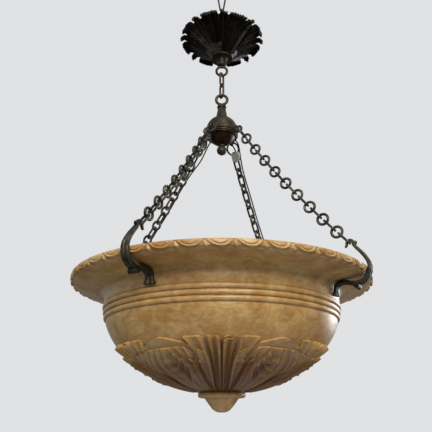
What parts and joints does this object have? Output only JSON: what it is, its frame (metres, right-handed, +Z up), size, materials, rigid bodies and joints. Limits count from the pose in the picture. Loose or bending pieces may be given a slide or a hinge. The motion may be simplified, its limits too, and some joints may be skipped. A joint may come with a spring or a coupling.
{
  "type": "alabaster bowl pendant",
  "caption": "Hanging light: a wide-lipped carved stone bowl carried by cast hooks and ring-and-link chains from a small domed crown, under an open leaf-cup canopy and a wire hanging loop.",
  "frame": {"origin": "bearing point inside the top of the hanging loop, on the bowl's axis", "axes": "+Z up along the bowl's axis, +X to the right and +Y away from the viewer in the picture"},
  "size_m": [0.5, 0.5, 0.845],
  "materials": {
    "bronze": "cast, dark and greenish brown, dull",
    "chain_bronze": "wire, dark and dull",
    "link_wire": "wire, brown, half dull",
    "steel": "plain",
    "alabaster": "carved, satin, slightly see-through",
    "brass_fitting": "plain, dull",
    "cap_metal": "plain",
    "lamp_glass": "pearl",
    "lead_cover": "smooth, dull",
    "block_plastic": "smooth"
  },
  "bodies": {
    "hanging": {"hanging_loop": "bronze"},
    "stem": {"stem": "bronze", "stem_collar": "bronze"},
    "canopy": {"canopy": "bronze"},
    "neck_upper": {"neck_upper_link": "link_wire"},
    "neck_lower": {"neck_lower_link": "link_wire"},
    "crown": {"crown_ring": "bronze", "crown": "bronze", "closing_plate": "bronze", "ball_finial": "bronze", "centre_rod": "steel", "rod_nut": "steel", "lead_right": "lead_cover", "lead_left": "lead_cover", "feed_lead": "lead_cover", "terminal_block": "block_plastic"},
    "chain_front_right": {"chain_front_right_shackle": "chain_bronze", "chain_front_right_rings": "chain_bronze", "chain_front_right_links": "chain_bronze"},
    "hook_front_right": {"hook_front_right": "bronze"},
    "chain_front_left": {"chain_front_left_shackle": "chain_bronze", "chain_front_left_rings": "chain_bronze", "chain_front_left_links": "chain_bronze"},
    "hook_front_left": {"hook_front_left": "bronze"},
    "chain_back_left": {"chain_back_left_shackle": "chain_bronze", "chain_back_left_rings": "chain_bronze", "chain_back_left_links": "chain_bronze"},
    "hook_back_left": {"hook_back_left": "bronze"},
    "chain_back_right": {"chain_back_right_shackle": "chain_bronze", "chain_back_right_rings": "chain_bronze", "chain_back_right_links": "chain_bronze"},
    "hook_back_right": {"hook_back_right": "bronze"},
    "bowl": {"bowl": "alabaster", "bottom_boss": "alabaster", "lamp_bar": "brass_fitting", "lampholder_right": "brass_fitting", "lamp_cap_right": "cap_metal", "lamp_glass_right": "lamp_glass", "lampholder_left": "brass_fitting", "lamp_cap_left": "cap_metal", "lamp_glass_left": "lamp_glass"}
  },
  "joints": [
    {"name": "stem_swing", "type": "hinge", "parent": "hanging", "child": "stem", "pos_m": [0, 0, -0.0348], "axis": [1, 0, 0], "range_deg": [-15, 15]},
    {"name": "canopy_slide", "type": "slide", "parent": "stem", "child": "canopy", "axis": [0, 0, 1], "range_m": [0, 0.06]},
    {"name": "upper_link_swing", "type": "hinge", "parent": "stem", "child": "neck_upper", "pos_m": [0, 0, -0.20305], "axis": [1, 0, 0], "range_deg": [-8, 8]},
    {"name": "lower_link_swing", "type": "hinge", "parent": "neck_upper", "child": "neck_lower", "pos_m": [0, 0, -0.22905], "axis": [0.5, 0.866, 0], "range_deg": [-10, 10]},
    {"name": "crown_swing", "type": "hinge", "parent": "neck_lower", "child": "crown", "pos_m": [0, 0, -0.25555], "axis": [0.5, -0.866, 0], "range_deg": [-8, 8]},
    {"name": "chain_front_right_swing", "type": "hinge", "parent": "crown", "child": "chain_front_right", "pos_m": [0.03299, -0.01904, -0.34016], "axis": [-0.5, -0.866, 0], "range_deg": [0, 2]},
    {"name": "hook_front_right_swing", "type": "hinge", "parent": "chain_front_right", "child": "hook_front_right", "pos_m": [0.19702, -0.11375, -0.59978], "axis": [-0.5, -0.866, 0], "range_deg": [0, 40]},
    {"name": "chain_front_left_swing", "type": "hinge", "parent": "crown", "child": "chain_front_left", "pos_m": [-0.01904, -0.03299, -0.34016], "axis": [-0.866, 0.5, 0], "range_deg": [0, 2]},
    {"name": "hook_front_left_swing", "type": "hinge", "parent": "chain_front_left", "child": "hook_front_left", "pos_m": [-0.11375, -0.19702, -0.59978], "axis": [-0.866, 0.5, 0], "range_deg": [0, 40]},
    {"name": "chain_back_left_swing", "type": "hinge", "parent": "crown", "child": "chain_back_left", "pos_m": [-0.03299, 0.01904, -0.34016], "axis": [0.5, 0.866, 0], "range_deg": [0, 2]},
    {"name": "hook_back_left_swing", "type": "hinge", "parent": "chain_back_left", "child": "hook_back_left", "pos_m": [-0.19702, 0.11375, -0.59978], "axis": [0.5, 0.866, 0], "range_deg": [0, 40]},
    {"name": "chain_back_right_swing", "type": "hinge", "parent": "crown", "child": "chain_back_right", "pos_m": [0.01904, 0.03299, -0.34016], "axis": [0.866, -0.5, 0], "range_deg": [0, 2]},
    {"name": "hook_back_right_swing", "type": "hinge", "parent": "chain_back_right", "child": "hook_back_right", "pos_m": [0.11375, 0.19702, -0.59978], "axis": [0.866, -0.5, 0], "range_deg": [0, 40]},
    {"name": "bowl_lift", "type": "slide", "parent": "crown", "child": "bowl", "axis": [0, 0, 1], "range_m": [0, 0.002]}
  ],
  "couplings": [
    {"joint": "hook_front_right_swing", "follows": "chain_front_right_swing", "ratio": 20},
    {"joint": "hook_front_left_swing", "follows": "chain_front_left_swing", "ratio": 20},
    {"joint": "hook_back_left_swing", "follows": "chain_back_left_swing", "ratio": 20},
    {"joint": "hook_back_right_swing", "follows": "chain_back_right_swing", "ratio": 20}
  ]
}
